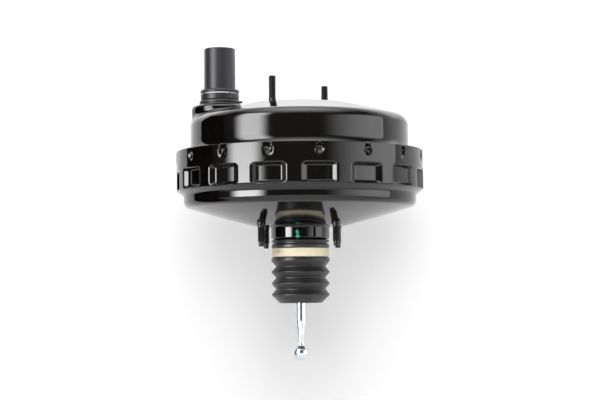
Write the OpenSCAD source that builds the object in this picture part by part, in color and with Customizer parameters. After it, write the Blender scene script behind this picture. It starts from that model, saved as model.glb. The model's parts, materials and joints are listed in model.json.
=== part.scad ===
// Vacuum brake booster: two pressed steel shells round a diaphragm, a sliding
// valve body, and a push rod that leaves the rear through a bellows boot.
// Z runs along the axis, towards the master cylinder. The origin is the centre
// of the face that seats on the bulkhead.

/* [Rear shell] */
// Thickness of both pressed shells
shell_t = 2; // [1.6:0.1:2.4]
// Outer diameter of the rim
rim_d = 280; // [272:1:290]
// Height of the rim's open edge above the bulkhead face
rim_top = 84; // [82:0.5:90]
// Height at which the flare reaches the rim's full diameter
rim_low = 40.3; // [39:0.1:41]
// How far the rim stands out from the wall under the flare
flare = 8; // [6:0.5:11]
// Diameter of the flat face on the bulkhead
face_d = 102; // [96:1:106]
// Rise of the rear cone from the face to the wall
cone_rise = 22.3; // [20:0.1:24]
// Diameter of the neck through the bulkhead
neck_d = 66; // [64:0.5:70]
// Length of the neck's painted part
neck_len = 14.5; // [12:0.5:18]
// How far the seat for the boot's collar stands in from the neck
seat_step = 4.5; // [4:0.1:5.5]
// Length of that seat
boot_seat_len = 20.5; // [20:0.5:24]

/* [Rim pockets and lances] */
// Number of pockets, and of the lances above them
pocket_n = 16; // [12:1:18]
// Width of a pocket at the rim's surface
pocket_w = 41; // [34:1:43]
// Depth of a pocket
pocket_depth = 5; // [3:0.5:5.5]
// Run of the pocket's sloping ends
pocket_slope = 7.5; // [5:0.5:9]
// Height of a pocket at the rim's surface
pocket_h = 24; // [20:1:25]
// Width of a lance's tab
lance_w = 6; // [4:0.5:8]
// Height of a tab, from the flange to its torn edge
lance_h = 4.4; // [3.5:0.1:5]
// How far a tab's torn edge leans in over the front shell's flange
lance_lean = 3.4; // [3:0.1:3.8]
// Width of the rim's edge that stays whole above the tear
lance_edge = 1.2; // [0.8:0.1:2]

/* [Front shell] */
// How far the rim stands out from the front shell's wall
front_step = 16.3; // [15:0.1:18]
// Height of the master cylinder's face
front_top = 137.2; // [134:0.2:142]
// Height of the flange's upper face
flange_top = 74.8; // [74:0.1:75.5]
// Diameter of the flat plateau
plateau_d = 126; // [123:1:132]
// Radius of the hole for the master cylinder
mc_bore_r = 24; // [21:0.5:26]
// Diameter of the circle of the two master cylinder studs
mc_pcd = 111; // [100:1:113]
// Angle of the line through those studs
mc_angle = 60; // [40:1:75]
// Height of those studs over the plateau
mc_stud_len = 28.6; // [20:0.2:40]

/* [Studs] */
// Thread diameter of every stud
stud_d = 8; // [6:1:10]
// Spacing of the square of bulkhead studs
stud_pitch = 83.4; // [82:0.2:88]
// Length of those studs below the face
stud_len = 24; // [18:1:36]
// Length of the plain pilot at a stud's tip
pilot_len = 5; // [3:0.5:7]
// Radius of a stud's root, where it passes through shell and plate
root_r = 4.6; // [4.4:0.1:5.2]
// Thickness of the plates that carry the studs
plate_t = 2.5; // [2:0.1:3]

/* [Vacuum connector] */
// Distance of the pad's side from the front shell's wall
pad_inset = 0.9; // [0.3:0.1:4]
// Radius of the raised pad under it
pad_r = 32; // [28:0.5:32]
// Height of the pad's top over the plateau
pad_rise = 0.8; // [0.5:0.1:3]
// Outer radius of the hose tube
port_r = 17.8; // [14:0.1:18]
// Wall of the hose tube
port_wall = 3; // [2:0.1:4]
// Length of the hose tube above its collar
port_len = 47.7; // [30:0.1:60]
// Travel of the check valve's disc
check_travel = 3; // [2:0.5:4]
// Thickness of that disc
check_disc_t = 2; // [1.5:0.1:3]

/* [Boot and ring] */
// How far the boot's folds stand out from the neck
fold_out = 0.3; // [0:0.1:3]
// Depth of the valleys between them
fold_depth = 5.4; // [4:0.1:7]
// Distance from fold to fold
fold_pitch = 12.85; // [12:0.05:13.5]
// Number of folds
fold_n = 4; // [3:1:5]
// Thickness of the rubber
boot_t = 1.8; // [1.2:0.1:2.2]
// Width of the cream ring
ring_w = 9.8; // [8:0.1:10]
// Thickness of the cream ring
ring_t = 1.7; // [1.2:0.1:2]

/* [Push rod] */
// Diameter of the rod
rod_d = 11; // [9:0.5:12]
// Diameter of the rod's neck above the ball
rod_neck_d = 5.8; // [5:0.1:7]
// Diameter of the ball
ball_d = 17.4; // [15:0.1:20]
// Depth of the ball's centre below the face
ball_z = 143.2; // [138:0.2:150]
// Depth at which the taper starts
taper_z = 107.2; // [100:0.2:112]

/* [Piston and valve] */
// Radius of the valve body's sliding tail
tail_r = 21; // [20:0.1:22]
// Running clearance of sliding pieces
run_gap = 0.06; // [0.03:0.01:0.08]
// Gap between soft pieces and what moves past them
soft_gap = 0.3; // [0.2:0.05:0.5]
// Radius of the large bore in the tail
tail_bore_r = 18; // [17:0.1:18.4]
// Radius of the bore that guides the plunger
plunger_r = 9; // [8.5:0.1:9.5]
// Travel of the plunger before it meets the reaction disc
valve_travel = 1.5; // [1:0.1:1.8]
// Radius of the reaction disc's cavity
reaction_r = 14; // [12:0.5:15]
// Clearance between the diaphragm plate's rim and the rear shell's wall
plate_clear = 12; // [10:0.5:16]
// Height of that rim over the plate's flat middle
plate_rise = 27.5; // [20:0.5:28]
// Thickness of the diaphragm
diaphragm_t = 2; // [1.5:0.1:2.5]
// Mean radius of the return spring
return_r = 36; // [32:1:40]
// Wire of the return spring
return_wire = 4; // [3:0.5:5]
// Turns of the return spring
return_turns = 6; // [4:1:8]
// Radius of the output rod
output_r = 6; // [5:0.5:7]

/* [Hidden] */
$fn = 96;

rim_r = rim_d / 2;
rear_wall_r = rim_r - flare;
face_r = face_d / 2;
neck_r = neck_d / 2;
boot_seat_r = neck_r - seat_step;
front_wall_r = rim_r - front_step;
port_x = front_wall_r - pad_inset - pad_r;
pad_top = front_top + pad_rise;
plate_rim_r = rear_wall_r - shell_t - plate_clear;
plateau_r = plateau_d / 2;
stud_r = stud_d / 2;
stud_half = stud_pitch / 2;
rod_r = rod_d / 2;
step_len = 1.1;
neck_bevel = 1.2;
boot_seat_end = -neck_len - step_len - boot_seat_len;
eps = 0.01;
cut = 1;

// Pockets and lances
pocket_pitch = 360 / pocket_n;
pocket_z = rim_low - 1.2;
pocket_top = pocket_z + pocket_h;
pocket_rise = 4.5;
lance_gap = 0.3;
lance_z = flange_top + lance_gap;
flange_r = rim_r - shell_t - 0.3;

// Pressed plates against the shells
plate_in_r = neck_r + 8;
plate_out_r = face_r + 25;
pad_seat_z = 10.4;
head_r = stud_r + 3.5;
head_t = 3;
mid_cone = [(face_r + rear_wall_r) / 2 + 5.5, cone_rise * 0.547];
front_under = front_top - shell_t;
bead_gap = 0.2;

// Valve mechanism along the axis
key_z = 4.9;
key_t = 3;
key_w = 11.6;
key_half = 27.5;
hub_z = 9;
hub_r = 28;
bead_z = 12.5;
bead_h = 4;
bead_top = bead_z + bead_h;
plate_knee_r = 45;
boss_r = 23;
boss_top = 50;
seat_z = -19;
seat_lip = 1;
nose_z = 28;
cavity_z = 34;
disc_t = 4;
socket_z = -12;
socket_r = 5.1;
rod_head_z = cavity_z + disc_t;
rod_head_t = 5;
output_end = front_top - 25.2;
plunger_low = -20;
poppet_top = plunger_low - soft_gap;
poppet_low = -47;
cup_t = 1.5;
rod_spring_low = -63;
filter_top = -65;
filter_low = -80;
filter_bore_r = 10.8;
boot_wall = 3;
ring_seat_r = neck_r - 0.8 - ring_t;

// Boot heights, from the collar down
collar_len = 9.7;
tail_taper = 9.3;
fold_r = neck_r + fold_out;
valley_r = fold_r - fold_depth;
ring_top = boot_seat_end + boot_seat_len - collar_len;
ring_low = ring_top - ring_w;
fold_top = ring_low - 4.2;
fold_low = fold_top - (fold_n - 1) * fold_pitch;
boot_low = fold_low - tail_taper;
tail_low = boot_low + boot_wall + soft_gap;
boot_end_r = tail_r + soft_gap + 2.5;
boot_hole_r = 13;

// Vacuum connector heights
grommet_h = 6;
pip_r = 1.3;
collar_z = pad_top + grommet_h + 0.8;
collar_r = port_r + 4;
collar_h = 6.5;
bead2_z = collar_z + collar_h + 1.8;
tube_z = bead2_z + 3.2;
port_top = tube_z + port_len;
stem_r = 9;
pad_hole_r = 14;
port_bore_r = port_r - port_wall;
check_seat_z = collar_z + 5;
cage_z = check_seat_z + check_disc_t + check_travel + 10;
cage_h = 3;

// Direction from a to b, and its left-hand normal
function along(a, b) = (b - a) / norm(b - a);
function left(v) = [-v[1], v[0]];

// Points of an arc that rounds the corner b between a and c
function corner(a, b, c, r, n) =
  let (u = along(b, a), w = along(b, c), half = acos(u * w) / 2,
       mid = b + along([0, 0], u + w) * r / sin(half),
       p = b + u * r / tan(half) - mid, q = b + w * r / tan(half) - mid,
       a0 = atan2(p[1], p[0]), turn = (atan2(q[1], q[0]) - a0 + 540) % 360 - 180)
  [for (i = [0 : n]) mid + r * [cos(a0 + turn * i / n), sin(a0 + turn * i / n)]];

// A path of [radius, height, fillet] points with its corners rounded
function flat(p) = [p[0], p[1]];
function rounded(pts, n = 5) =
  [for (i = [0 : len(pts) - 1])
    each (i == 0 || i == len(pts) - 1 || pts[i][2] == 0) ? [flat(pts[i])]
      : corner(flat(pts[i - 1]), flat(pts[i]), flat(pts[i + 1]), pts[i][2], n)];

// The path moved t to its left, with mitred corners
function shifted(path, t) =
  [for (i = [0 : len(path) - 1])
    let (last = len(path) - 1,
         n1 = left(i > 0 ? along(path[i - 1], path[i]) : along(path[0], path[1])),
         n2 = left(i < last ? along(path[i], path[i + 1]) : along(path[last - 1], path[last])))
    path[i] + t * (n1 + n2) / ((n1 + n2) * n1)];
function reversed(path) = [for (i = [len(path) - 1 : -1 : 0]) path[i]];

// A sheet of thickness t on the left of a path
module sheet(path, t) {
  rotate_extrude() polygon(concat(path, reversed(shifted(path, t))));
}

// A ring or disc between two radii and two heights
module ring(r_in, r_out, z_low, z_high) {
  rotate_extrude() polygon([[r_in, z_low], [r_out, z_low], [r_out, z_high], [r_in, z_high]]);
}

// A round bar between two heights
module bar(r, z_low, z_high) {
  translate([0, 0, z_low]) cylinder(r = r, h = z_high - z_low);
}

// A round wire coil with closed ends, drawn between two heights
module coil(r, wire, z_low, z_high, turns, sides = 8, steps = 20) {
  closed = 0.8;
  last = turns * steps;
  free = z_high - z_low - wire - 2 * closed * wire;
  function height(t) = z_low + wire / 2
    + (t < closed ? t * wire
      : t > turns - closed ? closed * wire + free + (t - turns + closed) * wire
      : closed * wire + free * (t - closed) / (turns - 2 * closed));
  points = [for (i = [0 : last], k = [0 : sides - 1])
    let (t = i / steps, a = 360 * t, b = 360 * k / sides, d = r + wire / 2 * 0.98 * cos(b))
    [d * cos(a), d * sin(a), height(t) + wire / 2 * 0.98 * sin(b)]];
  skin = [for (i = [0 : last - 1], k = [0 : sides - 1])
    let (a = i * sides + k, b = i * sides + (k + 1) % sides)
    [a, a + sides, b + sides, b]];
  first_end = [for (k = [0 : sides - 1]) k];
  last_end = [for (k = [sides - 1 : -1 : 0]) last * sides + k];
  polyhedron(points = points, faces = concat([first_end, last_end], skin), convexity = 8);
}

// Places of the four bulkhead studs and the two master cylinder studs
module at_bulkhead_studs() {
  for (x = [-1, 1], y = [-1, 1]) translate([x * stud_half, y * stud_half, 0]) children();
}
module at_mc_studs() {
  for (a = [mc_angle, mc_angle + 180]) rotate(a) translate([mc_pcd / 2, 0, 0]) children();
}
module at_port() {
  translate([-port_x, 0, 0]) children();
}

// Outer line of the rear shell, from the neck's end to the rim's open edge
rear_path = rounded([
  [boot_seat_r, boot_seat_end, 0],
  [boot_seat_r, -neck_len - step_len, 0],
  [neck_r - neck_bevel, -neck_len, 0],
  [neck_r, -neck_len + neck_bevel, 0],
  [neck_r, 0, 2.5],
  [face_r, 0, 8],
  [mid_cone[0], mid_cone[1], 60],
  [rear_wall_r, cone_rise, 8],
  [rear_wall_r, rim_low - 6, 3],
  [rim_r, rim_low, 3],
  [rim_r, rim_top, 0]]);

// Line of the shell's outer face over the stud plate
plate_end_z = mid_cone[1] * (plate_out_r - face_r) / (mid_cone[0] - face_r);
plate_path = rounded([[plate_in_r, 0, 0], [face_r, 0, 8], [plate_out_r, plate_end_z, 0]]);

// Outer line of the front shell, from the flange's edge to the bore's lip
front_path = rounded([
  [flange_r, flange_top, 0],
  [front_wall_r + 9.8, flange_top, 5],
  [front_wall_r, flange_top + 14, 15],
  [front_wall_r, front_top - 15.6, 12],
  [plateau_r, front_top, 14],
  [mc_bore_r, front_top, 1.5],
  [mc_bore_r, front_top - shell_t - 5, 0]]);

// Rear face of the diaphragm plate, which the diaphragm's web lies on
plate_points = [
  [boss_r, bead_top, 0],
  [plate_knee_r, bead_top, 12],
  [plate_rim_r - 6, bead_top + 7.5, 7],
  [plate_rim_r, bead_top + plate_rise, 0]];

// One pocket: a band turned about the axis, cut to a wedge, grown by t, that
// reaches out past the rim's surface by the length given
module pocket(t, out) {
  deep = rim_r - pocket_depth - t;
  rise = t * 0.4;
  intersection() {
    rotate_extrude() polygon([
      [rim_r + out, pocket_z - rise - out], [deep, pocket_z + pocket_rise - rise],
      [deep, pocket_top - pocket_rise + rise], [rim_r + out, pocket_top + rise + out]]);
    translate([0, 0, pocket_z - 3 * cut]) linear_extrude(pocket_h + 6 * cut) polygon([
      [pocket_w / 2 + rise + cut, -rim_r - cut], [pocket_w / 2 + rise, -rim_r + 1.5],
      [pocket_w / 2 - pocket_slope + rise, -deep + 1.5], [pocket_w / 2 - pocket_slope + rise, -deep + 6],
      [-pocket_w / 2 + pocket_slope - rise, -deep + 6], [-pocket_w / 2 + pocket_slope - rise, -deep + 1.5],
      [-pocket_w / 2 - rise, -rim_r + 1.5], [-pocket_w / 2 - rise - cut, -rim_r - cut]]);
  }
}

// A prism of a [radius, height] outline, standing across the rim at -Y
module rim_prism(outline, w) {
  translate([w / 2, 0, 0]) rotate([90, 0, -90]) linear_extrude(w) polygon(outline);
}

// The gap that a lance leaves in the rim, and its tab: pressed in over the
// flange from a root below, and torn free at its upper edge
module lance_gap_cut() {
  rim_prism([[rim_r - shell_t - cut, lance_z], [rim_r + cut, lance_z],
    [rim_r + cut, rim_top - lance_edge], [rim_r - shell_t - cut, rim_top - lance_edge]], lance_w);
}
module lance_tab() {
  tip = rim_r - lance_lean;
  face = rim_r - lance_gap;
  rim_prism([[rim_r - shell_t, lance_z - 1], [face, lance_z - 1], [face, lance_z],
    [tip, lance_z + lance_h], [tip - shell_t, lance_z + lance_h],
    [rim_r - shell_t, lance_z]], lance_w);
}

// Both patterns stand on the same angles, half a pitch from -Y
module round_rim() {
  for (i = [0 : pocket_n - 1]) rotate((i + 0.5) * pocket_pitch) children();
}

// Pressed rear shell: neck, face, cone, wall, flare and rim
module rear_shell() {
  color([0.06, 0.05, 0.045]) difference() {
    union() {
      difference() {
        sheet(rear_path, shell_t);
        round_rim() lance_gap_cut();
      }
      intersection() {
        round_rim() pocket(shell_t, -0.4);
        rotate_extrude() polygon(concat(rear_path, [[0, rim_top], [0, boot_seat_end]]));
      }
      round_rim() lance_tab();
    }
    round_rim() pocket(0, cut);
    at_bulkhead_studs() bar(root_r, -cut, 30);
  }
}

// Region under the stud plate, which its pads and the stud collars stop at
module under_shell(t) {
  low = -20;
  line = shifted(plate_path, t);
  rotate_extrude() polygon(concat(line, [[plate_out_r, low], [plate_in_r, low]]));
}

// Stiffening plate inside the rear shell, with a flat pad at each stud
module rear_plate() {
  color([0.35, 0.35, 0.36]) difference() {
    union() {
      sheet(shifted(plate_path, shell_t), plate_t);
      difference() {
        at_bulkhead_studs() bar(head_r + 1.5, shell_t, pad_seat_z);
        under_shell(shell_t);
      }
    }
    at_bulkhead_studs() bar(root_r, -cut, 30);
  }
}

// Four studs: head inside, collar on the outside, thread and pilot
module bulkhead_studs() {
  color([0.08, 0.08, 0.08]) {
    at_bulkhead_studs() {
      bar(head_r, pad_seat_z, pad_seat_z + head_t);
      bar(root_r, 0, pad_seat_z + eps);
      bar(stud_r, -stud_len + pilot_len, eps);
      bar(stud_r - 1, -stud_len, -stud_len + pilot_len + eps);
    }
    intersection() {
      at_bulkhead_studs() bar(root_r + 0.6, 0, pad_seat_z);
      under_shell(0);
    }
  }
}

// Plain bearing that carries the valve body in the neck
module guide_bush() {
  color([0.85, 0.83, 0.78])
    ring(tail_r + run_gap, neck_r - shell_t, -neck_len + neck_bevel + shell_t, -3.6);
}

// Lip seal above the bearing
module neck_seal() {
  inner = tail_r + soft_gap;
  outer = neck_r - shell_t;
  color([0.12, 0.12, 0.12]) rotate_extrude() polygon([
    [inner + 3, -3.5], [outer, -3.5], [outer, -2.6], [outer - 0.6, shell_t], [inner + 5, shell_t],
    [inner + 5, 0], [inner + 2, 0], [inner + 0.8, shell_t], [inner, shell_t], [inner, 0]]);
}

// Flanged washer that holds the seal down
module seal_retainer() {
  color([0.7, 0.7, 0.68])
    ring(tail_r + 0.6, plate_in_r - 0.5, shell_t, shell_t + 2);
}

// Pressed front shell: flange, wall, cone, plateau, pad for the connector
module front_shell() {
  floor_z = flange_top + 20;
  color([0.06, 0.05, 0.045]) difference() {
    union() {
      sheet(front_path, shell_t);
      difference() {
        at_port() rotate_extrude() polygon(rounded([
          [0, floor_z, 0], [pad_r, floor_z, 0], [pad_r, pad_top, 4], [0, pad_top, 0]]));
        rotate_extrude() polygon(concat([[0, floor_z - cut]],
          [for (p = shifted(front_path, shell_t)) if (p[0] > plateau_r / 2) p], [[0, front_under]]));
      }
    }
    at_port() rotate_extrude() polygon(rounded([
      [0, floor_z - 2 * cut, 0], [pad_r - shell_t, floor_z - 2 * cut, 0],
      [pad_r - shell_t, pad_top - shell_t, 2], [0, pad_top - shell_t, 0]]));
    at_port() bar(pad_hole_r, 100, pad_top + cut);
    at_mc_studs() bar(root_r, 100, front_top + cut);
  }
}

// Plate that spreads the master cylinder's load
module front_plate() {
  color([0.35, 0.35, 0.36]) difference() {
    ring(mc_bore_r + shell_t + 1, plateau_r - 3, front_under - plate_t, front_under);
    at_mc_studs() bar(root_r, 100, front_top);
    at_port() bar(pad_r - shell_t + 0.5, 100, front_top);
  }
}

// Two studs with welded heads under the plate
module master_cylinder_studs() {
  top = front_top + mc_stud_len;
  color([0.08, 0.08, 0.08]) at_mc_studs() rotate_extrude() polygon([
    [0, front_under - plate_t - head_t], [head_r, front_under - plate_t - head_t],
    [head_r, front_under - plate_t], [root_r, front_under - plate_t], [root_r, front_top],
    [stud_r, front_top], [stud_r, top - 1], [stud_r - 1, top], [0, top]]);
}

// Rolling diaphragm: inner bead, web, fold and the clamped outer bead
module diaphragm() {
  web = rounded(concat(plate_points, [
    [plate_rim_r + 2.5, (bead_top + plate_rise + flange_top) / 2 - 3.4, 8],
    [flange_r - 5.5, flange_top - 6.4, 0]]));
  color([0.1, 0.1, 0.1]) difference() {
    union() {
      sheet(web, -diaphragm_t);
      ring(boss_r, hub_r + 2, bead_z, bead_top - eps);
      ring(flange_r - 7, flange_r, pocket_top + shell_t * 0.4 + bead_gap, flange_top - shell_t - bead_gap);
    }
    bar(boss_r, 0, bead_top + diaphragm_t);
  }
}

// Pressed plate that carries the pressure to the valve body
module diaphragm_plate() {
  color([0.62, 0.6, 0.5]) sheet(rounded(plate_points), 1.5);
}

// Main return spring, from the plate to the front shell
module return_spring() {
  color([0.5, 0.5, 0.52])
    coil(return_r, return_wire, bead_top + 1.6, front_under - plate_t - 0.1, return_turns);
}

// Moulded valve body: tail, hub, boss, stepped bore and air passages
module valve_body() {
  color([0.2, 0.18, 0.16]) difference() {
    union() {
      bar(tail_r, tail_low, hub_z + eps);
      bar(hub_r, hub_z, bead_z);
      bar(boss_r, bead_z - eps, boss_top);
    }
    bar(tail_bore_r, tail_low - cut, seat_z);
    bar(plunger_r, seat_z - cut, nose_z);
    bar(output_r, nose_z - cut, cavity_z + cut);
    bar(reaction_r, cavity_z, boss_top + cut);
    translate([-key_half - 2, -key_w / 2 - 0.1, key_z - 0.3])
      cube([2 * key_half + 4, key_w + 0.2, hub_z - key_z + 0.3 - eps]);
    for (a = [45 : 90 : 315]) rotate(a) {
      translate([tail_bore_r - 1.8, 0, seat_z - cut]) cylinder(r = 2, h = nose_z - seat_z);
      translate([tail_bore_r - 4, -2.5, bead_top + 4]) cube([12, 5, 6]);
    }
  }
  color([0.2, 0.18, 0.16]) ring(plunger_r + 2, plunger_r + 3.5, seat_z - seat_lip, seat_z + eps);
}

// Key that limits the plunger and the valve body's return
module stop_key() {
  color([0.7, 0.7, 0.68]) difference() {
    translate([-key_half, -key_w / 2, key_z]) cube([2 * key_half, key_w, key_t]);
    bar(plunger_r - 3.7, 0, 20);
    translate([-plunger_r + 3.7, 0, 0]) cube([2 * plunger_r - 7.4, key_w, 20]);
  }
}

// Plunger: socket for the rod, groove for the key, nose for the disc
module valve_plunger() {
  r = plunger_r - run_gap;
  groove_low = key_z - valve_travel - 0.3;
  color([0.75, 0.74, 0.7]) difference() {
    rotate_extrude() polygon([
      [0, plunger_low], [r, plunger_low], [r, groove_low], [plunger_r - 4, groove_low],
      [plunger_r - 4, key_z + key_t + 0.4], [r, key_z + key_t + 0.4], [r, 20],
      [output_r - 0.1, 21], [output_r - 0.1, cavity_z - valve_travel - 0.4],
      [0, cavity_z - valve_travel - 0.4]]);
    bar(socket_r, plunger_low - cut, socket_z);
    translate([0, 0, socket_z]) sphere(r = socket_r);
  }
}

// Rubber poppet: face for both valve seats, sleeve and clamped bead
module poppet_valve() {
  color([0.13, 0.13, 0.13]) rotate_extrude() polygon([
    [7, poppet_top - 2.6], [7, poppet_top], [14.5, poppet_top], [14.5, poppet_low + 4],
    [tail_bore_r - 0.1, poppet_low + 3], [tail_bore_r - 0.1, poppet_low], [12.5, poppet_low],
    [12.5, poppet_top - 2.6]]);
}

// Cup pressed into the tail to hold the poppet and both springs
module poppet_retainer() {
  color([0.7, 0.7, 0.68]) rotate_extrude() polygon([
    [8.4, poppet_low - cup_t], [tail_bore_r, poppet_low - cup_t - 3],
    [tail_bore_r, poppet_low], [8.4, poppet_low]]);
}

module poppet_spring() {
  color([0.6, 0.6, 0.62])
    coil(10.4, 1.2, poppet_low + 0.1, poppet_top - 2.7, 5, 6, 14);
}

module rod_return_spring() {
  color([0.6, 0.6, 0.62])
    coil(9.6, 1.4, rod_spring_low + 0.1, poppet_low - cup_t - 1.2, 4, 6, 14);
}

// Foam ring that cleans the air drawn in along the rod
module air_filter() {
  color([0.25, 0.25, 0.24]) ring(filter_bore_r, tail_bore_r, filter_low, filter_top);
}

// Felt ring behind the filter that quietens it
module silencer() {
  color([0.6, 0.58, 0.52]) ring(filter_bore_r, tail_bore_r, tail_low + 0.5, filter_low - 0.1);
}

module reaction_disc() {
  color([0.1, 0.1, 0.1]) bar(reaction_r - run_gap, cavity_z, cavity_z + disc_t);
}

// Output rod with its mushroom head in the cavity
module output_rod() {
  color([0.72, 0.72, 0.7]) difference() {
    union() {
      bar(reaction_r - run_gap, rod_head_z, rod_head_z + rod_head_t);
      bar(output_r, rod_head_z + rod_head_t - eps, output_end);
    }
    bar(3, output_end - 14, output_end + cut);
  }
}

// Screw that sets the output rod's length, with a domed end
module output_rod_tip() {
  color([0.75, 0.75, 0.75]) {
    bar(3, output_end - 12, output_end + eps);
    translate([0, 0, output_end]) cylinder(r = 5.8, h = 5, $fn = 6);
    bar(4.5, output_end + 5 - eps, output_end + 11);
    translate([0, 0, output_end + 11 - eps]) cylinder(r1 = 4.5, r2 = 2.5, h = 2.5);
  }
}

// Cup over the boss that keeps the output rod in place
module output_rod_retainer() {
  color([0.7, 0.7, 0.68]) {
    ring(output_r + 0.4, boss_r + 1.2, boss_top, boss_top + 1.2);
    ring(boss_r, boss_r + 1.2, boss_top - 12, boss_top + eps);
  }
}

// Push rod: ball in the plunger, shoulder for its spring, taper and ball
module input_rod() {
  collar = rod_r + 5.2;
  ball_r = ball_d / 2;
  color([0.8, 0.81, 0.83]) {
    translate([0, 0, socket_z]) sphere(r = socket_r - 0.08);
    rotate_extrude() polygon([
      [0, socket_z], [3.5, socket_z - 3], [3.5, -40], [rod_r, -44], [rod_r, rod_spring_low],
      [collar, rod_spring_low], [collar, rod_spring_low - 1.6], [rod_r, rod_spring_low - 1.6],
      [rod_r, -taper_z], [rod_r - 0.5, -taper_z - 5], [rod_neck_d / 2, -ball_z + ball_r + 2],
      [rod_neck_d / 2, -ball_z], [0, -ball_z]]);
    translate([0, 0, -ball_z]) sphere(r = ball_r);
  }
}

// Rubber bellows with its collar on the neck and its lip round the tail
module boot() {
  neck_low = -neck_len - step_len - 0.2;
  r_in = boot_seat_r;
  folds = concat(
    [[ring_seat_r, ring_low, 0], [fold_r - 0.9, ring_low - 0.6, 0.8], [fold_r, fold_top, 1]],
    [for (i = [1 : fold_n - 1], k = [0 : 1]) k == 0
      ? [valley_r, fold_top - (i - 0.5) * fold_pitch, 0.9] : [fold_r, fold_top - i * fold_pitch, 1]],
    [[boot_end_r, boot_low, 1.5], [boot_hole_r, boot_low, 0]]);
  color([0.13, 0.13, 0.13]) {
    rotate_extrude() polygon([
      [r_in, neck_low], [neck_r - 0.8, neck_low], [neck_r - 0.3, neck_low - 1.2],
      [neck_r - 0.8, neck_low - 2.4], [ring_seat_r, neck_low - 2.9], [ring_seat_r, neck_low - 4.4],
      [neck_r - 0.9, neck_low - 4.9], [neck_r - 0.2, neck_low - 6], [neck_r - 0.2, ring_top + 0.9],
      [neck_r - 0.9, ring_top + eps], [ring_seat_r, ring_top + eps], [ring_seat_r, ring_low - 0.6],
      [r_in, ring_low - 0.6]]);
    sheet(rounded(folds, 3), -boot_t);
    ring(boot_hole_r, boot_end_r - 1, boot_low, boot_low + boot_wall);
  }
}

// Cream ring that clamps the boot's collar
module boot_ring() {
  color([0.93, 0.89, 0.77]) ring(ring_seat_r, ring_seat_r + ring_t, ring_low, ring_top);
}

// Rubber grommet, grooved to hold in the pad's hole, with a moulded pip at its side
module port_grommet() {
  r = port_r + 5.4;
  color([0.1, 0.1, 0.1]) at_port() {
    rotate_extrude() polygon([
      [stem_r, pad_top - shell_t - 4], [pad_hole_r + 1, pad_top - shell_t - 3],
      [pad_hole_r + 2.5, pad_top - shell_t], [pad_hole_r, pad_top - shell_t], [pad_hole_r, pad_top],
      [r, pad_top], [r + 0.6, pad_top + 1.4], [r, pad_top + 2.6], [r - 1.2, pad_top + 3],
      [r, pad_top + 3.4], [r + 0.3, pad_top + 4.8], [r - 0.6, pad_top + grommet_h],
      [collar_r - 1.5, collar_z], [stem_r, collar_z]]);
    translate([r - 1.5, 0, pad_top + 4.6]) rotate([0, 90, 0]) cylinder(r = pip_r, h = 4, $fn = 24);
  }
}

// Vacuum connector: stem, collar, bead and hose tube over a valve chamber
module vacuum_connector() {
  color([0.2, 0.2, 0.22]) at_port() difference() {
    rotate_extrude() polygon([
      [0, pad_top - 14], [stem_r - 1, pad_top - 14], [stem_r + 0.6, pad_top - 9],
      [stem_r, pad_top - 8.6], [stem_r, collar_z], [collar_r, collar_z],
      [collar_r, collar_z + collar_h], [collar_r - 1.4, collar_z + collar_h + 0.5],
      [collar_r - 1.4, bead2_z - 0.5], [collar_r + 0.4, bead2_z], [collar_r + 0.4, bead2_z + 1.8],
      [collar_r - 0.4, tube_z], [port_r, tube_z], [port_r, port_top - 1.4],
      [port_r - 1.4, port_top], [0, port_top]]);
    bar(stem_r - 3, 100, check_seat_z + cut);
    bar(port_bore_r, check_seat_z, port_top + cut);
  }
}

// Disc of the check valve, closed by its spring
module check_disc() {
  color([0.15, 0.15, 0.15]) at_port()
    bar(port_bore_r - 2.4, check_seat_z + 0.02, check_seat_z + check_disc_t);
}

module check_spring() {
  color([0.6, 0.6, 0.62]) at_port()
    coil(5, 0.8, check_seat_z + check_disc_t + 0.1, cage_z - 0.1, 5, 6, 12);
}

// Perforated ring that holds the check valve's spring
module check_cage() {
  color([0.2, 0.2, 0.22]) at_port() difference() {
    bar(port_bore_r, cage_z, cage_z + cage_h);
    bar(3, cage_z - cut, cage_z + cage_h + cut);
    for (a = [0 : 60 : 300]) rotate(a)
      translate([8.8, 0, cage_z - cut]) cylinder(r = 2.6, h = cage_h + 2 * cut);
  }
}

rear_shell();
rear_plate();
bulkhead_studs();
guide_bush();
neck_seal();
seal_retainer();
front_shell();
front_plate();
master_cylinder_studs();
diaphragm();
diaphragm_plate();
return_spring();
valve_body();
stop_key();
valve_plunger();
poppet_valve();
poppet_retainer();
poppet_spring();
rod_return_spring();
air_filter();
silencer();
reaction_disc();
output_rod();
output_rod_tip();
output_rod_retainer();
input_rod();
boot();
boot_ring();
port_grommet();
vacuum_connector();
check_disc();
check_spring();
check_cage();
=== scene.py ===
"""Vacuum brake booster: smooth pressed shells, rubber boot, threads and finishes round the CAD frame."""
import bpy
import bmesh
import json
from math import acos, atan2, cos, floor, hypot, pi, radians, sin, sqrt, tan
from mathutils import Matrix, Vector


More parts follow.
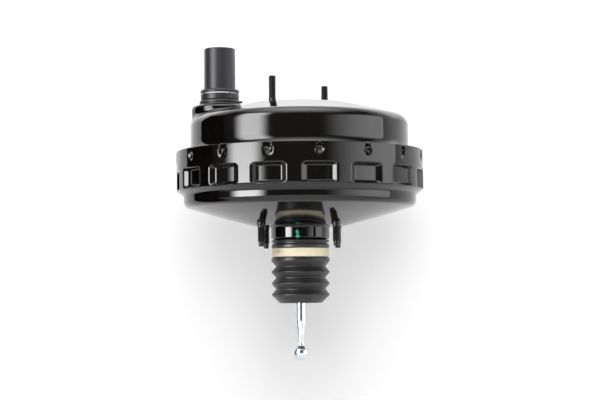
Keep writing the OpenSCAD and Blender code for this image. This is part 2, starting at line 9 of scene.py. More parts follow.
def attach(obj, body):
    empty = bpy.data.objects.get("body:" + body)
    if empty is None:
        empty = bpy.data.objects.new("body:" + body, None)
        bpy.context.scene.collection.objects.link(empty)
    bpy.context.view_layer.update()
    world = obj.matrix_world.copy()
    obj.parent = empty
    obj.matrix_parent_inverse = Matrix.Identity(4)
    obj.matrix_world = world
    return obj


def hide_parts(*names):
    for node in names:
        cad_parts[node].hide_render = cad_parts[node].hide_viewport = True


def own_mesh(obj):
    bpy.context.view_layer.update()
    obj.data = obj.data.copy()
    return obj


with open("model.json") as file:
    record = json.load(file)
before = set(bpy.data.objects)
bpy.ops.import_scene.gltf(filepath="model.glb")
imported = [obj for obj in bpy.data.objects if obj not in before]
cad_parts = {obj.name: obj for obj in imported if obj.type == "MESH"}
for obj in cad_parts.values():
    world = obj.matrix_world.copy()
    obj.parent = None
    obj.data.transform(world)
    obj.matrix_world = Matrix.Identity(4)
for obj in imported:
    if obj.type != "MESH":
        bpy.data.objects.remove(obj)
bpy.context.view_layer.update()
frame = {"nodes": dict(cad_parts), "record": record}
MM = 0.001


# Camera at the photograph's viewing angle

def aim(obj, target, roll=0.0):
    """Turn a lamp or the camera so that it looks at a point."""
    direction = Vector(target) - obj.location
    turn = direction.to_track_quat("-Z", "Y").to_matrix().to_4x4()
    obj.matrix_world = Matrix.Translation(obj.location) @ turn @ Matrix.Rotation(roll, 4, "Z")


def make_camera():
    """Camera in front of the drum, a little below it."""
    data = bpy.data.cameras.new("camera")
    data.sensor_width = 36.0
    data.lens = 93.6
    data.clip_start = 0.05
    data.clip_end = 30.0
    camera = bpy.data.objects.new("camera", data)
    bpy.context.scene.collection.objects.link(camera)
    camera.location = (0.0773, -1.7703, -0.0754)
    aim(camera, (0.0, 0.0, 0.0297), roll=radians(-0.5))
    bpy.context.scene.camera = camera
    bpy.context.scene.view_settings.view_transform = "Standard"


make_camera()


# Finishes: a small builder for shader nodes, and maths on values that vary over a surface

class Level:
    """A value that varies over a surface. Arithmetic on it adds Math nodes."""

    def __init__(self, tree, socket):
        self.tree = tree
        self.socket = socket

    def maths(self, operation, *values):
        return self.tree.node("ShaderNodeMath", {"operation": operation},
                              {i: v for i, v in enumerate(values)})

    def __add__(self, other):
        return self.maths("ADD", self, other)

    __radd__ = __add__

    def __sub__(self, other):
        return self.maths("SUBTRACT", self, other)

    def __rsub__(self, other):
        return self.maths("SUBTRACT", other, self)

    def __mul__(self, other):
        return self.maths("MULTIPLY", self, other)

    __rmul__ = __mul__

    def __abs__(self):
        return self.maths("ABSOLUTE", self)

    def most(self, other):
        return self.maths("MAXIMUM", self, other)

    def step(self, low, high):
        """0 below low, 1 above high, smooth between."""
        return self.tree.node("ShaderNodeMapRange", {"interpolation_type": "SMOOTHSTEP"},
                              {"Value": self, "From Min": low, "From Max": high})


class Tree:
    """A node tree that grows node by node."""

    def __init__(self, tree):
        self.tree = tree

    def node(self, kind, settings=None, inputs=None, output=0):
        made = self.tree.nodes.new(kind)
        for name, value in (settings or {}).items():
            setattr(made, name, value)
        for name, value in (inputs or {}).items():
            self.feed(made.inputs[name], value)
        return Level(self, made.outputs[output])

    def feed(self, socket, value):
        if isinstance(value, Level):
            self.tree.links.new(value.socket, socket)
        else:
            socket.default_value = value

    def split(self, vector):
        parts = self.tree.nodes.new("ShaderNodeSeparateXYZ")
        self.feed(parts.inputs[0], vector)
        return [Level(self, parts.outputs[i]) for i in range(3)]


class Finish(Tree):
    """A material with one Principled shader."""

    def __init__(self, name, colour, roughness=0.5, metallic=0.0, **constants):
        self.material = bpy.data.materials.new(name)
        self.material.use_nodes = True
        super().__init__(self.material.node_tree)
        self.shader = self.tree.nodes["Principled BSDF"]
        self.set("Base Color", (*colour, 1.0))
        self.set("Roughness", roughness)
        self.set("Metallic", metallic)
        for socket, value in constants.items():
            self.set(socket.replace("_", " "), value)
        self.place = self.node("ShaderNodeTexCoord", output="Object")

    def set(self, socket, value):
        self.feed(self.shader.inputs[socket], value)

    def noise(self, scale, detail=3.0, stretch=(1.0, 1.0, 1.0), roughness=0.5):
        place = self.node("ShaderNodeMapping", None, {"Vector": self.place, "Scale": stretch})
        return self.node("ShaderNodeTexNoise", None,
                         {"Vector": place, "Scale": scale, "Detail": detail, "Roughness": roughness})

    def axes(self):
        return self.split(self.place)

    def mix(self, factor, first, second):
        made = self.tree.nodes.new("ShaderNodeMix")
        made.data_type = "RGBA"
        self.feed(made.inputs[0], factor)
        for socket, value in ((made.inputs[6], first), (made.inputs[7], second)):
            self.feed(socket, value if isinstance(value, Level) else (*value, 1.0))
        return Level(self, made.outputs[2])

    def bump(self, height, distance, strength=1.0):
        normal = self.node("ShaderNodeBump", None,
                           {"Height": height, "Distance": distance, "Strength": strength})
        self.set("Normal", normal)


def black_paint():
    """Gloss black dip coat: slight orange peel, faint dust, torn bare lips and a green check mark."""
    black = (0.0028, 0.0023, 0.0020)
    dust = (0.010, 0.009, 0.008)
    finish = Finish("shell_black", black, roughness=0.07)
    cloud = finish.noise(38.0, 5.0)
    speck = finish.noise(900.0, 2.0)
    dusty = (cloud * 0.6 + speck * 0.4).step(0.52, 0.78)
    colour = finish.mix(dusty * 0.6, black, dust)
    rough = 0.05 + cloud * 0.05 + dusty * 0.06
    x, y, z = finish.axes()
    ragged = (finish.noise(420.0, 3.0) - 0.5) * 0.0028
    front = (y * -1.0).step(0.025, 0.030)
    blob = abs(x + 0.0016 + ragged) * 0.8 + abs(z + 0.0126) * 0.75 + ragged
    streak = abs(x + 0.0028 + z * 0.10 + ragged) * 1.2 + abs(z + 0.0078) * 0.7 + ragged
    mark = (1 - blob.step(0.0016, 0.0026)).most(1 - streak.step(0.0017, 0.0029)) * front
    colour = finish.mix(mark, colour, (0.003, 0.40, 0.27))
    torn = lance_lip(x, y, z) * finish.noise(1300.0, 2.0).step(0.42, 0.6)
    finish.set("Base Color", finish.mix(torn, colour, (0.62, 0.62, 0.60)))
    finish.set("Metallic", torn * 0.9)
    finish.set("Roughness", rough + mark * 0.35 + torn * 0.2)
    finish.bump(finish.noise(260.0, 2.0), 0.00002, 0.35)
    return finish.material


def lance_lip(x, y, z):
    """1 on the torn upper edges of the lances, where the steel shows bare."""
    out = x * x + y * y
    band = out.step(0.1345 ** 2, 0.1352 ** 2) * (1 - out.step(0.1374 ** 2, 0.1378 ** 2))
    return band * z.step(0.0774, 0.0779) * (1 - z.step(0.0792, 0.0796))


def satin_black():
    """Phosphated and oiled studs: dark grey with lighter rubbed patches."""
    finish = Finish("stud_black", (0.018, 0.018, 0.019), roughness=0.38, metallic=0.35)
    patch = finish.noise(300.0, 4.0).step(0.45, 0.75)
    finish.set("Base Color", finish.mix(patch, (0.005, 0.005, 0.005), (0.014, 0.014, 0.015)))
    finish.set("Roughness", 0.30 + patch * 0.15)
    finish.bump(finish.noise(1500.0, 2.0), 0.00001, 0.4)
    return finish.material


def steel(name, colour, roughness, scale=500.0, stretch=(1.0, 1.0, 1.0)):
    """Bare or plated steel with fine tool marks and a faint stain."""
    finish = Finish(name, colour, roughness=roughness, metallic=1.0)
    marks = finish.noise(scale, 3.0, stretch)
    stain = finish.noise(55.0, 4.0).step(0.5, 0.8)
    darker = tuple(0.72 * c for c in colour)
    finish.set("Base Color", finish.mix(stain * 0.6, colour, darker))
    finish.set("Roughness", roughness + marks * 0.08 + stain * 0.06)
    finish.bump(marks, 0.000004, 0.3)
    return finish.material


def rubber(name, colour=(0.012, 0.012, 0.012), roughness=0.42):
    """Matt moulded rubber with a talc bloom that gathers in patches."""
    finish = Finish(name, colour, roughness=roughness)
    bloom = finish.noise(70.0, 5.0).step(0.45, 0.8)
    grain = finish.noise(1600.0, 2.0)
    pale = tuple(c * 1.9 + 0.006 for c in colour)
    finish.set("Base Color", finish.mix(bloom * 0.55, colour, pale))
    finish.set("Roughness", roughness - 0.06 + bloom * 0.14 + grain * 0.05)
    finish.bump(grain, 0.00004, 0.5)
    return finish.material


def plastic(name, colour, roughness, scale=900.0):
    """Moulded plastic: fine grain and slight flow marks."""
    finish = Finish(name, colour, roughness=roughness)
    flow = finish.noise(45.0, 3.0, (1.0, 1.0, 0.25))
    grain = finish.noise(scale, 2.0)
    pale = tuple(c * 1.35 + 0.003 for c in colour)
    finish.set("Base Color", finish.mix(flow * 0.7, colour, pale))
    finish.set("Roughness", roughness - 0.05 + flow * 0.08 + grain * 0.05)
    finish.bump(grain, 0.00003, 0.35)
    return finish.material


def seamed_plastic():
    """Grey moulding of the hose connector, with a pale broken line round the groove of its collar."""
    grey = (0.016, 0.016, 0.021)
    finish = Finish("port_plastic", grey, roughness=0.34, Specular_IOR_Level=0.3)
    flow = finish.noise(45.0, 3.0, (1.0, 1.0, 0.25))
    grain = finish.noise(900.0, 2.0)
    x, y, z = finish.axes()
    # A pale broken line round the groove of the collar.
    pale_groove_line = z.step(0.1513, 0.1516) * (1 - z.step(0.1524, 0.1527)) * finish.noise(90.0, 2.0).step(0.36, 0.5)
    colour = finish.mix(flow * 0.7, grey, (0.024, 0.024, 0.030))
    finish.set("Base Color", finish.mix(pale_groove_line, colour, (0.75, 0.75, 0.76)))
    finish.set("Roughness", 0.29 + flow * 0.08 + grain * 0.05)
    finish.bump(grain, 0.00003, 0.35)
    return finish.material


def cream_plastic():
    """Cream ring with handling stains and a thumbed grey patch on its left."""
    cream = (0.84, 0.735, 0.525)
    finish = Finish("cream_ring", cream, roughness=0.45)
    soft = finish.noise(120.0, 4.0).step(0.5, 0.85)
    x, y, z = finish.axes()
    spot = abs(x + 0.0245) + abs(z + 0.0292) * 1.2 + finish.noise(500.0, 3.0) * 0.004
    stain = (1 - spot.step(0.0035, 0.0075)) * (y * -1.0).step(0.0, 0.01)
    colour = finish.mix(soft * 0.5, cream, (0.70, 0.60, 0.42))
    colour = finish.mix(stain * 0.55, colour, (0.33, 0.26, 0.18))
    finish.set("Base Color", colour)
    finish.set("Roughness", 0.58 + soft * 0.15)
    finish.bump(finish.noise(800.0, 2.0), 0.00003, 0.3)
    return finish.material


def fibre(name, colour, scale):
    """Foam or felt: open cells or matted hair in the bump, mottled colour."""
    finish = Finish(name, colour, roughness=0.95, Specular_IOR_Level=0.2)
    cells = finish.node("ShaderNodeTexVoronoi", None, {"Vector": finish.place, "Scale": scale})
    mottle = finish.noise(scale * 0.5, 4.0)
    dark = tuple(0.45 * c for c in colour)
    finish.set("Base Color", finish.mix(mottle, dark, colour))
    finish.bump(cells, 0.0004, 0.8)
    return finish.material


finishes = {
    "shell_black": black_paint(),
    "stud_black": satin_black(),
    "pressed_steel": steel("pressed_steel", (0.46, 0.45, 0.43), 0.34, 700.0),
    "zinc_steel": steel("zinc_steel", (0.70, 0.74, 0.79), 0.14, 900.0, (1.0, 1.0, 0.15)),
    "spring_steel": steel("spring_steel", (0.33, 0.33, 0.34), 0.36, 800.0),
    "black_rubber": rubber("black_rubber"),
    "valve_plastic": plastic("valve_plastic", (0.07, 0.058, 0.048), 0.5),
    "bush_plastic": plastic("bush_plastic", (0.74, 0.70, 0.60), 0.45),
    "port_plastic": seamed_plastic(),
    "cream_ring": cream_plastic(),
    "filter_foam": fibre("filter_foam", (0.055, 0.055, 0.055), 900.0),
    "felt": fibre("felt", (0.36, 0.33, 0.27), 1600.0),
}
slot_of = {s["node"]: s["material_slot"] for s in frame["record"]["subparts"]}
for node_name, node in frame["nodes"].items():
    node.data.materials.clear()
    node.data.materials.append(finishes[slot_of[node_name]])


# Meshes: outlines in millimetres, spun about an upright axis

def corner(before, point, after, radius, count):
    """Points of an arc that rounds one corner of an outline."""
    b = Vector(point[:2])
    u = (Vector(before[:2]) - b).normalized()
    w = (Vector(after[:2]) - b).normalized()
    half = acos(max(-1.0, min(1.0, u.dot(w)))) / 2
    middle = b + (u + w).normalized() * radius / sin(half)
    p = b + u * radius / tan(half) - middle
    q = b + w * radius / tan(half) - middle
    start = atan2(p.y, p.x)
    turn = (atan2(q.y, q.x) - start + 3 * pi) % (2 * pi) - pi
    return [tuple(middle + radius * Vector((cos(start + turn * i / count), sin(start + turn * i / count))))
            for i in range(count + 1)]


def rounded(points, count=6):
    """An outline of (radius, height, fillet) points with its corners rounded."""
    line = []
    for i, point in enumerate(points):
        if i in (0, len(points) - 1) or point[2] == 0:
            line.append(tuple(point[:2]))
        else:
            line.extend(corner(points[i - 1], point, points[i + 1], point[2], count))
    return line


def shifted(line, distance):
    """The outline moved to its left, with mitred corners."""
    points = [Vector(p) for p in line]
    runs = [(b - a).normalized() for a, b in zip(points, points[1:])]
    sides = [Vector((-d.y, d.x)) for d in runs]
    beside = []
    for i, point in enumerate(points):
        first = sides[max(i - 1, 0)]
        second = sides[min(i, len(sides) - 1)]
        beside.append(tuple(point + distance * (first + second) / (first + second).dot(first)))
    return beside


def refined(line, longest, low, high):
    """The outline with its long runs divided, between two heights."""
    fine = [line[0]]
    for (r0, z0), (r1, z1) in zip(line, line[1:]):
        inside = max(z0, z1) > low and min(z0, z1) < high
        parts = max(1, round(hypot(r1 - r0, z1 - z0) / longest)) if inside else 1
        fine.extend((r0 + (r1 - r0) * i / parts, z0 + (z1 - z0) * i / parts) for i in range(1, parts + 1))
    return fine


def spin_mesh(outline, steps=128, closed=True):
    """Spin an outline in millimetres once round Z, as a bmesh in metres."""
    bm = bmesh.new()
    verts = [bm.verts.new((r * MM, 0.0, z * MM)) for r, z in outline]
    pairs = list(zip(verts, verts[1:])) + ([(verts[-1], verts[0])] if closed else [])
    edges = [bm.edges.new(pair) for pair in pairs]
    bmesh.ops.spin(bm, geom=verts + edges, cent=(0, 0, 0), axis=(0, 0, 1), angle=2 * pi,
                   steps=steps, use_merge=True)
    bmesh.ops.remove_doubles(bm, verts=bm.verts, dist=1e-6)
    bmesh.ops.recalc_face_normals(bm, faces=bm.faces)
    return bm


def finished(bm, name, body, slot, *replaced, crease=35.0):
    """Turn a bmesh into a smooth-shaded piece that rides on a body."""
    mesh = bpy.data.meshes.new(name)
    bm.to_mesh(mesh)
    bm.free()
    mesh.shade_smooth()
    mesh.set_sharp_from_angle(angle=radians(crease))
    piece = bpy.data.objects.new(name, mesh)
    bpy.context.scene.collection.objects.link(piece)
    mesh.materials.append(finishes[slot])
    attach(piece, body)
    if replaced:
        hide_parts(*replaced)
    return piece


def moved(bm, x=0.0, y=0.0, z=0.0):
    bmesh.ops.translate(bm, verts=bm.verts, vec=(x * MM, y * MM, z * MM))
    return bm


def smooth(t):
    t = max(0.0, min(1.0, t))
    return t * t * (3 - 2 * t)


# Driving sizes in millimetres, as the CAD model has them
shell_t = 2.0
rim_r, rim_top, rim_low = 140.0, 84.0, 40.3
rear_wall_r, cone_rise, face_r = 132.0, 22.3, 51.0
neck_r, neck_len, seat_r = 33.0, 14.5, 28.5
seat_end = -36.1
front_wall_r, front_top, flange_top = 123.7, 137.2, 74.8
flange_r, plateau_r, bore_r, shoulder_r = 137.7, 63.0, 24.0, 12.0
cone_drop = 15.6
pocket_n, pocket_w, pocket_h, pocket_depth = 16, 41.0, 24.0, 5.0
pocket_low = rim_low - 1.2
pocket_run, pocket_rise = 7.5, 4.5
lance_low, lance_top, lance_edge, lance_lean = 75.1, 79.5, 1.2, 3.4
port_x, pad_r, pad_top, port_r = 90.8, 32.0, 138.0, 17.8
stud_r, root_r, stud_half = 4.0, 4.6, 41.7
pivot_r, pivot_z = 5.02, -12.0


def from_pocket(x, y):
    """Distance along the rim, in millimetres, from the nearest pocket's middle."""
    pitch = 2 * pi / pocket_n
    turn = (atan2(y, x) + pi / 2) / pitch - 0.5
    return (turn - floor(turn + 0.5)) * pitch * rim_r


def pocket_press(u, z):
    """Depth of the pocket at a place on the rim."""
    along = (pocket_w / 2 - abs(u)) / pocket_run
    up = (pocket_h / 2 - abs(z - pocket_low - pocket_h / 2)) / pocket_rise
    if along <= 0 or up <= 0:
        return 0.0
    level = 1 - hypot(max(0.0, 1 - along), max(0.0, 1 - up))
    return pocket_depth * smooth(level)


def lance_press(u, z, turn):
    """Depth of a lance: a smooth dent that deepens upwards to a torn gap under the rim's edge."""
    ragged = 0.45 * sin(2.3 * u + 5 * turn) + 0.3 * sin(5.1 * u + 11 * turn)
    torn = lance_top - 1.4 + ragged
    if z >= torn:
        open_w = 2.7 + 0.5 * sin(3 * z + 7 * turn)
        if abs(u) < open_w and z < rim_top - lance_edge - 0.6:
            return 5.5
        return 0.5 * smooth((4.8 - abs(u)) / 3.0) * smooth((rim_top + 0.5 - z) / 3.0)
    deep = smooth((z - 68.0) / (torn - 68.0))
    return lance_lean * deep * smooth((5.4 - abs(u)) / (2.4 + 2.0 * (1 - deep)))


def make_rear_shell():
    """Pressed rear shell in one sheet: neck, cone, flare and the pocketed rim."""
    line = rounded([
        (seat_r, seat_end, 0), (seat_r, -neck_len - 1.1, 0.25), (neck_r - 1.2, -neck_len, 0.35),
        (neck_r, -neck_len + 1.2, 0.6), (neck_r, 0, 2.5), (face_r, 0, 8), (97, 12.2, 60),
        (rear_wall_r, cone_rise, 8), (rear_wall_r, rim_low - 6, 3), (rim_r, rim_low, 3),
        (rim_r, rim_top, 0)], 8)
    inner = shifted(line, shell_t)
    outer = refined(line, 0.8, rim_low - 4, rim_top)
    inner = refined(inner[::-1], 2.0, rim_low + 0.5, rim_top)
    outer[-1] = (rim_r - 0.25, rim_top)
    outer.insert(-1, (rim_r, rim_top - 0.25))
    bm = spin_mesh(outer + inner, steps=pocket_n * 44)
    for v in bm.verts:
        x, y, z = (c / MM for c in v.co)
        r = hypot(x, y)
        if z < pocket_low or r < rear_wall_r + 2:
            continue
        u = from_pocket(x, y)
        low = z < pocket_low + pocket_h + 1
        press = pocket_press(u, z) if low else lance_press(u, z, round(8 * (1 + atan2(y, x) / pi) - 0.5))
        scale = (r - press) / r
        v.co.x *= scale
        v.co.y *= scale
    return finished(bm, "rear_shell_skin", "housing", "shell_black", "rear_shell", crease=50)


def cone_height(r):
    """Height of the front shell's upper face at a radius."""
    slope = cone_drop / (front_wall_r - plateau_r)
    if r <= plateau_r:
        return front_top
    straight = front_top - (r - plateau_r) * slope
    round_r = shoulder_r
    inner = front_wall_r - round_r
    if r <= inner - 1.0:
        return straight
    drop = round_r - sqrt(max(0.0, round_r ** 2 - min(round_r, r - inner) ** 2))
    return front_top - (inner - plateau_r) * slope - drop


def make_front_shell():
    """Pressed front shell: flange, wall, rounded shoulder, cone, plateau and bore lip."""
    line = rounded([
        (flange_r, flange_top, 0), (front_wall_r + 9.8, flange_top, 5),
        (front_wall_r, flange_top + 14, 15), (front_wall_r, front_top - cone_drop, shoulder_r),
        (plateau_r, front_top, 14), (bore_r, front_top, 1.5), (bore_r, front_top - shell_t - 5, 0)], 12)
    outline = line + shifted(line, shell_t)[::-1]
    return finished(spin_mesh(outline, steps=256), "front_shell_skin", "housing", "shell_black",
                    "front_shell")


def make_port_pad():
    """Raised pad for the connector, blended into the cone with a fillet.

    The rings below the top are made at heights from 100 down, one millimetre apart, which only number
    them: each is then moved to its place on the pad's wall or on the fillet."""
    hole, top_round, foot = 14.0, 4.0, 6.0
    rows = rounded([(hole, pad_top - shell_t - 0.4, 0), (hole, pad_top, 0.8), (pad_r, pad_top, top_round),
                    (pad_r, pad_top - 12, 0)], 8)
    wall, fillet = 6, 8
    bm = spin_mesh(rows + [(pad_r + 0.01 * i, 100.0 - i) for i in range(wall + fillet)],
                   steps=160, closed=False)
    start = pad_top - top_round
    for v in bm.verts:
        x, y, z = (c / MM for c in v.co)
        r = hypot(x, y)
        ux, uy = x / r, y / r
        if z > 101:
            px, py, pz = -port_x + x, y, z
        else:
            i = round(100.0 - z)
            base = cone_height(min(front_wall_r, hypot(-port_x + pad_r * ux, pad_r * uy)))
            blend = min(foot, max(0.5, start - base - 0.5))
            if i < wall:
                px, py = -port_x + pad_r * ux, pad_r * uy
                pz = start + (base + blend - start) * (i + 1) / wall
            else:
                t = (i - wall + 1) / fillet * pi / 2
                reach = pad_r + blend * (1 - cos(t))
                px, py = -port_x + reach * ux, reach * uy
                rho = hypot(px, py)
                pz = cone_height(min(rho, front_wall_r)) + blend * (1 - sin(t)) - (0.35 if t > 1.5 else 0.0)
        rho = hypot(px, py)
        if rho > front_wall_r - 0.02:
            px, py = px * (front_wall_r - 0.02) / rho, py * (front_wall_r - 0.02) / rho
        v.co = (px * MM, py * MM, pz * MM)
    return finished(bm, "port_pad", "housing", "shell_black", crease=50)


def make_boot():
    """Bellows boot: a collar on the neck, and folds with a mesh of their own."""
    collar = rounded([
        (28.5, -15.8, 0), (32.2, -15.8, 0.5), (32.8, -17.1, 0.6), (32.2, -18.4, 0.4), (30.6, -18.8, 0.2),
        (30.6, -20.1, 0.2), (32.2, -20.5, 0.5), (32.8, -21.8, 0.6), (32.8, -24.4, 0.6), (32.1, -25.2, 0.3),
        (30.5, -25.25, 0), (30.5, -35.6, 0), (28.5, -35.6, 0)], 4)
    finished(spin_mesh(collar, 160), "boot_collar", "housing", "black_rubber", "boot")
    peak, valley, pitch, first, top = 33.3, 27.9, 12.85, -39.35, -35.1
    points = [(30.5, top, 0), (32.4, top - 0.6, 0.8), (peak, first, 1.0)]
    for i in (1, 2, 3):
        points.append((valley, first - (i - 0.5) * pitch, 0.9))
        points.append((peak, first - i * pitch, 1.0))
    low = first - 3 * pitch
    points += [(23.8, low - 9.3, 1.5), (13.0, low - 9.3, 0)]
    line = rounded(points, 6)
    folds = finished(spin_mesh(line + shifted(line, -1.8)[::-1], 160), "boot_folds", "housing",
                     "black_rubber", "boot")
    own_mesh(folds)


def make_boot_ring():
    """Cream ring with eased edges in the collar's groove."""
    outline = rounded([(30.5, -35.05, 0), (30.5, -25.35, 0.1), (32.2, -25.35, 0.5), (32.2, -35.05, 0.5),
                       (30.6, -35.05, 0)], 4)
    finished(spin_mesh(outline, 160), "boot_ring_band", "housing", "cream_ring", "boot_ring")


def threaded(z_low, z_high, radius=stud_r, depth=0.5, pitch=1.25, per_turn=6, sides=32):
    """A rod whose surface is cut to a screw thread, with chamfered ends."""
    rings = int((z_high - z_low) / pitch * per_turn)
    outline = [(radius, z_low + (z_high - z_low) * i / rings) for i in range(rings + 1)]
    bm = spin_mesh([(0.0, z_low)] + outline + [(0.0, z_high)], steps=sides)
    for v in bm.verts:
        x, y, z = (c / MM for c in v.co)
        r = hypot(x, y)
        if r < 0.1:
            continue
        turn = z / pitch - atan2(y, x) / (2 * pi)
        flank = abs((turn % 1.0) * 2 - 1)
        cut = depth * (1 - smooth(flank))
        end = min(z - z_low, z_high - z)
        cut = max(cut, 0.9 - end) if end < 0.9 else cut
        v.co.x *= (r - cut) / r
        v.co.y *= (r - cut) / r
    return bm


def join(target, source):
    """Add one bmesh to another."""
    mesh = bpy.data.meshes.new("joined")
    source.to_mesh(mesh)
    source.free()
    target.from_mesh(mesh)
    bpy.data.meshes.remove(mesh)
    return target


def make_studs():
    """Threaded studs of both faces, with collars, plain roots and pilots."""
    rear = bmesh.new()
    for x in (-stud_half, stud_half):
        for y in (-stud_half, stud_half):
            join(rear, moved(threaded(-19.0, -2.0), x, y))
            pilot = rounded([(0, -24, 0), (3.0, -24, 0.5), (3.0, -18.6, 0), (0, -18.6, 0)], 3)
            join(rear, moved(spin_mesh(pilot, 32), x, y))
            root = [(0, -2.6), (3.7, -2.6), (stud_r, -2.2), (stud_r, 0), (root_r, 0.02), (root_r, 10.4),
                    (7.5, 10.4), (7.5, 13.4), (0, 13.4)]
            join(rear, moved(spin_mesh(root, 32), x, y))
            collar = rounded([(3.9, 0.02, 0), (5.2, 0.02, 0.3), (5.2, 1.2, 0), (3.9, 1.0, 0)], 3)
            join(rear, moved(spin_mesh(collar, 32), x, y))
    finished(rear, "bulkhead_stud_threads", "housing", "stud_black", "bulkhead_studs")
    front = bmesh.new()
    for turn in (radians(60), radians(240)):
        x, y = 55.5 * cos(turn), 55.5 * sin(turn)
        join(front, moved(threaded(141.0, 165.8), x, y))
        root = [(0, 129.7), (7.5, 129.7), (7.5, 132.7), (root_r, 132.7), (root_r, 137.18),
                (stud_r, 137.2), (stud_r, 140.8), (3.6, 141.4), (0, 141.4)]
        join(front, moved(spin_mesh(root, 32), x, y))
    finished(front, "cylinder_stud_threads", "housing", "stud_black", "master_cylinder_studs")


def make_push_rod():
    """Plated rod: ball socket end, shoulder, taper and polished ball."""
    ball_r, ball_z = 8.7, -143.2
    pivot = [(pivot_r * cos(radians(a)), pivot_z + pivot_r * sin(radians(a))) for a in range(90, -42, -6)]
    ball = [(ball_r * cos(radians(a)), ball_z + ball_r * sin(radians(a))) for a in range(70, -90, -5)]
    line = rounded([
        (3.5, -16.0, 0), (3.5, -40, 1),
        (5.5, -44, 1), (5.5, -63, 0), (10.7, -63, 0.3), (10.7, -64.6, 0.3), (5.5, -64.6, 0),
        (5.5, -107.2, 2), (2.9, -131.5, 6), (2.9, -134.8, 0)], 6)
    bm = spin_mesh(pivot + line + ball + [(0, ball_z - ball_r)], 96)
    finished(bm, "push_rod_skin", "push_rod", "zinc_steel", "input_rod", crease=40)


def make_connector():
    """Grommet, collars and hose tube of the vacuum connector."""
    rubber_line = rounded([
        (9, 132, 0), (15, 133, 0.3), (16.5, 136, 0.3), (14, 136, 0), (14, 138, 0), (22.9, 138.0, 0.3),
        (23.7, 139.4, 0.7), (23.1, 140.6, 0.3), (21.9, 141.0, 0.2), (23.1, 141.4, 0.3),
        (23.4, 142.8, 0.6), (22.5, 143.9, 0.4), (20.2, 144.75, 0.2), (9, 144.75, 0)], 4)
    grommet = spin_mesh(rubber_line, 128)
    pip = spin_mesh(rounded([(0, 21.7, 0), (1.3, 21.7, 0), (1.3, 25.7, 0.6), (0, 25.7, 0)], 4), 24)
    bmesh.ops.rotate(pip, verts=pip.verts, cent=(0, 0, 0), matrix=Matrix.Rotation(pi / 2, 3, "Y"))
    join(grommet, moved(pip, 0, 0, pad_top + 4.6))
    finished(moved(grommet, -port_x), "port_grommet_ring", "housing", "black_rubber", "port_grommet",
             crease=50)
    r, bore, top = port_r, port_r - 3, 204.0
    body = rounded([
        (6, 124, 0), (8, 124, 0.3), (9.6, 129, 0.3), (9, 129.4, 0), (9, 144.8, 0), (r + 4, 144.8, 0.5),
        (r + 4, 151.3, 0.5), (r + 3.3, 151.6, 0.1), (r + 3.3, 152.5, 0.1), (r + 4.4, 153.1, 0.4),
        (r + 4.4, 154.9, 0.5), (r + 3.6, 156.3, 0.3), (r, 156.3, 0.8), (r, top, 1.2), (bore, top, 0.6),
        (bore, 149.8, 0), (6, 149.8, 0)], 5)
    bm = moved(spin_mesh(body, 160), -port_x)
    finished(bm, "vacuum_connector_body", "housing", "port_plastic", "vacuum_connector", crease=50)


make_rear_shell()
make_front_shell()
make_port_pad()
make_boot()
make_boot_ring()
make_studs()
make_push_rod()
make_connector()


# Stage: a pale floor with a backdrop close behind, and soft studio light

def stage_white(name, glow, diffuse):
    """White paper that glows a little where it is seen, and keeps the object's shadow."""
    material = bpy.data.materials.new(name)
    material.use_nodes = True
    material.node_tree.nodes.clear()
    tree = Tree(material.node_tree)
    path = tree.tree.nodes.new("ShaderNodeLightPath")
    camera, glossy, through = [Level(tree, path.outputs["Is %s Ray" % kind])
                               for kind in ("Camera", "Glossy", "Transmission")]
    paper = tree.node("ShaderNodeBsdfDiffuse", None, {"Color": (diffuse, diffuse, diffuse, 1)})
    light = tree.node("ShaderNodeEmission", None, {"Strength": camera.most(glossy.most(through)) * glow})
    both = tree.node("ShaderNodeAddShader", None, {0: paper, 1: light})
    back = tree.node("ShaderNodeNewGeometry", output="Backfacing")
    clear = tree.node("ShaderNodeBsdfTransparent")
    chosen = tree.node("ShaderNodeMixShader", None, {0: back, 1: both, 2: clear})
    out = material.node_tree.nodes.new("ShaderNodeOutputMaterial")
    tree.feed(out.inputs["Surface"], chosen)
    return material


def make_stage():
    """Floor and backdrop in one sheet, with a rounded corner between."""
    back_y, floor_z, bend, wide = 0.22, -0.42, 0.25, 2.6
    bm = bmesh.new()
    line = [(-3.0, floor_z)]
    for i in range(13):
        t = pi / 2 * i / 12
        line.append((back_y - bend + bend * sin(t), floor_z + bend - bend * cos(t)))
    line.append((back_y, 1.9))
    verts = [bm.verts.new((-wide, y, z)) for y, z in line]
    edges = [bm.edges.new(pair) for pair in zip(verts, verts[1:])]
    grown = bmesh.ops.extrude_edge_only(bm, edges=edges)
    bmesh.ops.translate(bm, vec=(2 * wide, 0, 0),
                        verts=[v for v in grown["geom"] if isinstance(v, bmesh.types.BMVert)])
    bm.normal_update()
    if sum(f.normal.z for f in bm.faces) < 0:
        bmesh.ops.reverse_faces(bm, faces=bm.faces)
    mesh = bpy.data.meshes.new("paper_sweep")
    bm.to_mesh(mesh)
    bm.free()
    mesh.shade_smooth()
    sweep = bpy.data.objects.new("paper_sweep", mesh)
    bpy.context.scene.collection.objects.link(sweep)
    mesh.materials.append(stage_white("paper", 0.22, 0.72))


def make_flag():
    """Black card left of the object, seen only in its gloss, as the photograph's dark side shows."""
    bm = bmesh.new()
    bmesh.ops.create_grid(bm, size=0.5)
    mesh = bpy.data.meshes.new("black_flag")
    bm.to_mesh(mesh)
    bm.free()
    flag = bpy.data.objects.new("black_flag", mesh)
    bpy.context.scene.collection.objects.link(flag)
    flag.matrix_world = (Matrix.Translation((-0.40, -0.005, 0.02)) @ Matrix.Rotation(pi / 2, 4, "Y")
                         @ Matrix.Diagonal((0.7, 0.27, 1.0, 1.0)))
    mesh.materials.append(Finish("flag_black", (0.004, 0.004, 0.004), 0.9, Specular_IOR_Level=0.1).material)
    for ray in ("camera", "diffuse", "shadow", "transmission"):
        setattr(flag, "visible_" + ray, False)


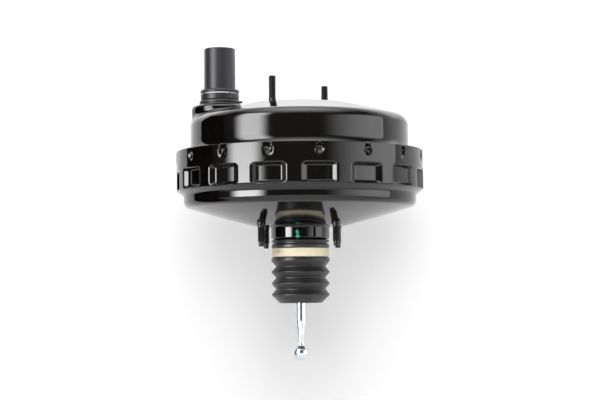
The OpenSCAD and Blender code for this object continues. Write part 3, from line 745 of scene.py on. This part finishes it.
def softbox(name, azimuth, elevation, distance, size, radiance, soft, hidden=()):
    """A lamp with fading edges, azimuth counted from the camera's side, and the rays that don't see it."""
    data = bpy.data.lights.new(name, "AREA")
    data.shape = "RECTANGLE"
    data.size, data.size_y = size
    data.energy = radiance * pi * size[0] * size[1]
    data.use_nodes = True
    tree = Tree(data.node_tree)
    place = tree.split(tree.node("ShaderNodeNewGeometry", output="Parametric"))
    fade = place[0].step(0.0, soft[0]) * (1 - place[0]).step(0.0, soft[0])
    fade = fade * place[1].step(0.0, soft[1]) * (1 - place[1]).step(0.0, soft[1])
    tree.feed(data.node_tree.nodes["Emission"].inputs["Strength"], fade)
    lamp = bpy.data.objects.new(name, data)
    bpy.context.scene.collection.objects.link(lamp)
    for ray in ("camera", *hidden):
        setattr(lamp, "visible_" + ray, False)
    a, e = radians(azimuth), radians(elevation)
    lamp.location = (distance * sin(a) * cos(e), -distance * cos(a) * cos(e), distance * sin(e))
    aim(lamp, (0, 0, 0.04))
    return lamp


def make_lights():
    """Panels that show in the gloss, a key that lights what is matt, and a plain room."""
    softbox("left_softbox", -47.5, 15, 1.7, (1.28, 2.1), 11.5, (0.34, 0.15), ["diffuse"])
    softbox("left_low", -47.5, -2.5, 1.7, (1.28, 0.9), 8.0, (0.34, 0.5), ["diffuse"])
    softbox("right_panel", 76, 5, 1.6, (4.0, 1.8), 3.0, (0.5, 0.3), ["diffuse"])
    softbox("top_panel", 2, 76, 1.6, (3.0, 3.0), 4.5, (0.5, 0.5))
    back = softbox("back_panel", 180, 60, 0.4, (1.4, 0.5), 1.3, (0.3, 0.3), ["diffuse"])
    back.location = (0.05, 0.20, 0.43)
    aim(back, (0.05, -1.0, 0.43))
    softbox("key", 2, 19, 1.7, (1.4, 1.3), 11.5, (0.4, 0.4), ["glossy"])
    world = bpy.data.worlds.new("room")
    bpy.context.scene.world = world
    world.use_nodes = True
    background = world.node_tree.nodes["Background"]
    background.inputs["Color"].default_value = (1, 1, 1, 1)
    background.inputs["Strength"].default_value = 0.11


make_stage()
make_flag()
make_lights()
